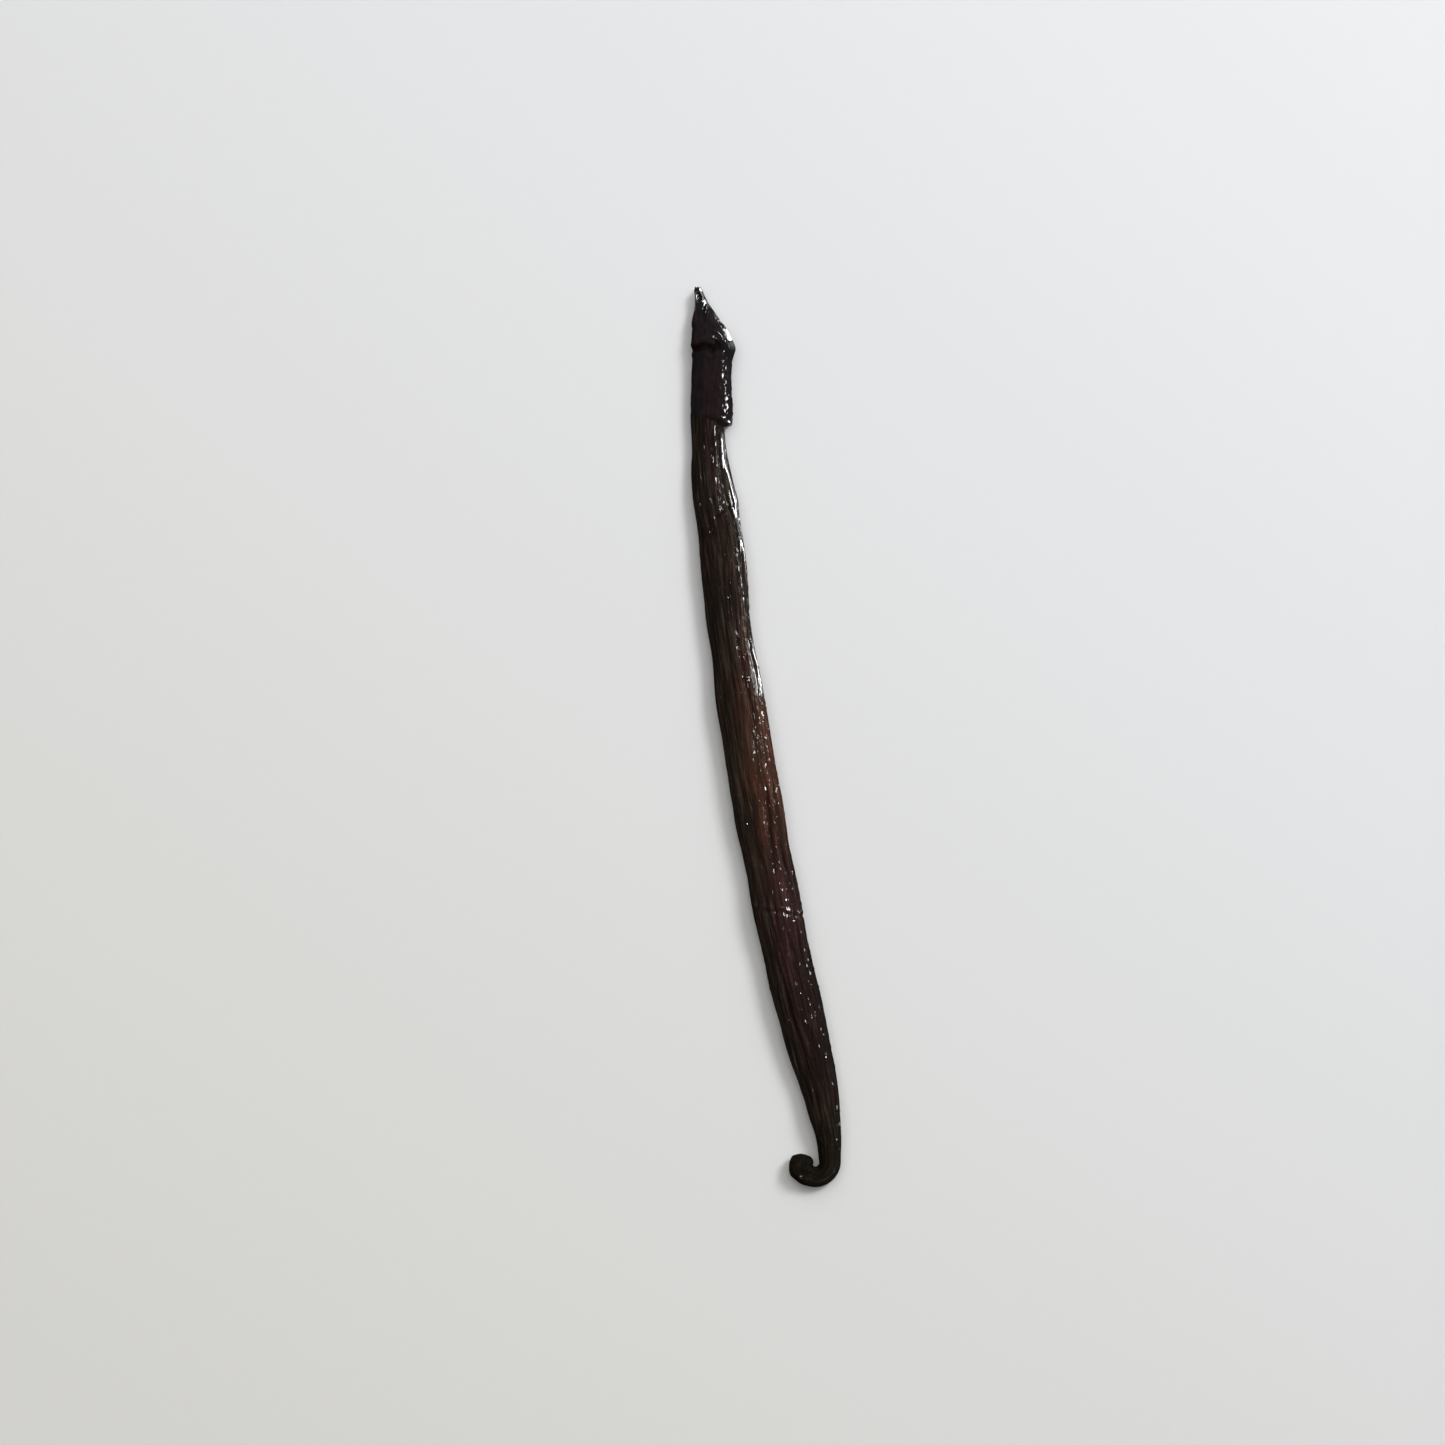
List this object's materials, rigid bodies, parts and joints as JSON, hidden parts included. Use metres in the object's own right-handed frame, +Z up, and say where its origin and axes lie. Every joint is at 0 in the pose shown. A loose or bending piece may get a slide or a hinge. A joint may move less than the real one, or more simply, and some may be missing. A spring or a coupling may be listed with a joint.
{
  "type": "vanilla pod",
  "caption": "Cured vanilla pod lying flat: long wrinkled dark brown body, ragged blossom end with a collar of older skin, and a stem curled into a small hook.",
  "frame": {"origin": "centre of the bounding box, at the height of the table the pod lies on", "axes": "+Y along the pod towards the blossom end, +Z up, +X to the side the blossom end's collar flares to"},
  "size_m": [0.013, 0.1684, 0.0058],
  "materials": {
    "pod_skin": "oily semi-gloss, wrinkled along the pod"
  },
  "bodies": {
    "root": {"pod": "pod_skin"}
  },
  "joints": []
}
